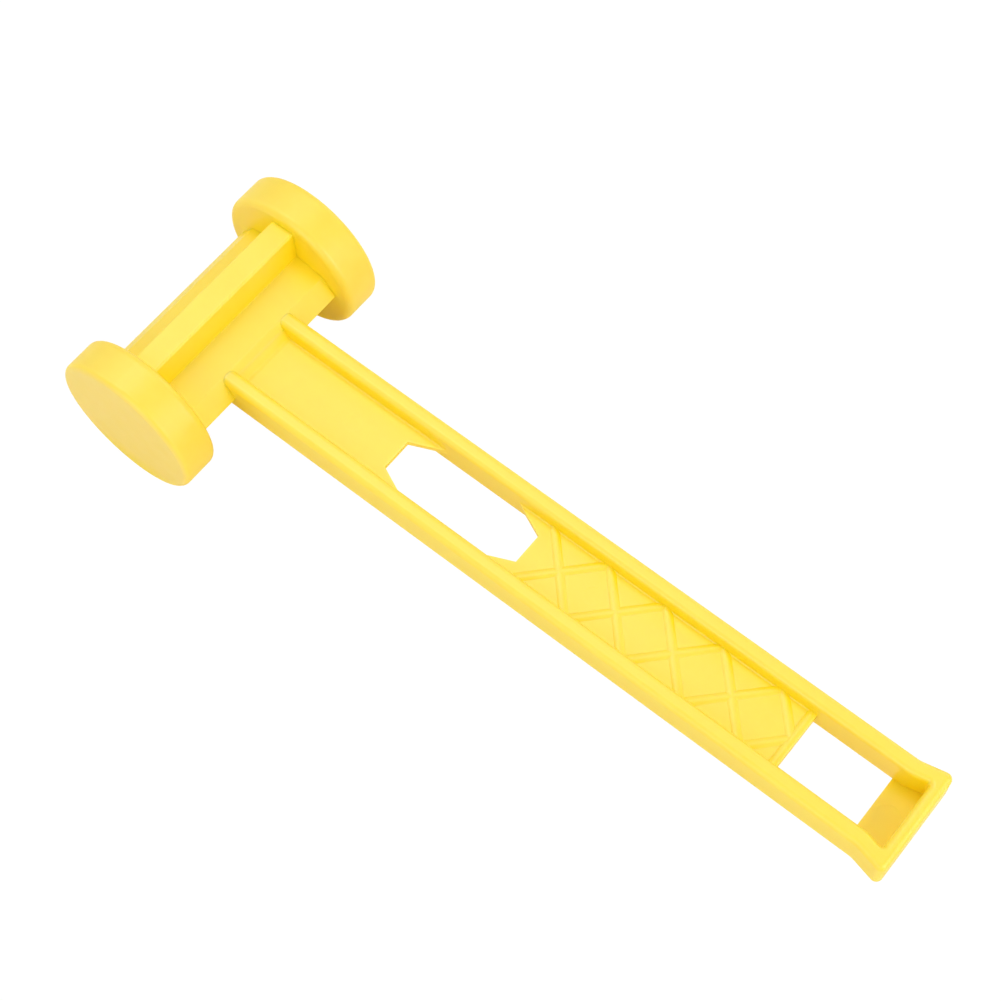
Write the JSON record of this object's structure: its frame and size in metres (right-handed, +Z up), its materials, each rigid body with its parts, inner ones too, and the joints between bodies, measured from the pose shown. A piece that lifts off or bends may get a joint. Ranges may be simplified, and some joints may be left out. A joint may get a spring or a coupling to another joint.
{
  "type": "plastic tent peg mallet",
  "caption": "One-hand plastic mallet with a round striking disc at each end of a ribbed head and a flat channelled handle with a lattice grip, two openings and a flared end.",
  "frame": {"origin": "centre of the bounding box seen from above, at its lowest level, where the two striking discs' rims would meet a table", "axes": "+X along the handle towards its flared end, +Y a striking direction (the left disc's face normal), +Z up, normal to the handle's web"},
  "size_m": [0.2635, 0.0826, 0.047],
  "materials": {
    "body_plastic": "satin moulded finish, slightly translucent yellow",
    "puck_plastic": "satin moulded finish, slightly translucent yellow"
  },
  "bodies": {
    "root": {"left_striking_puck": "puck_plastic", "right_striking_puck": "puck_plastic", "head_core": "body_plastic", "handle": "body_plastic"}
  },
  "joints": []
}
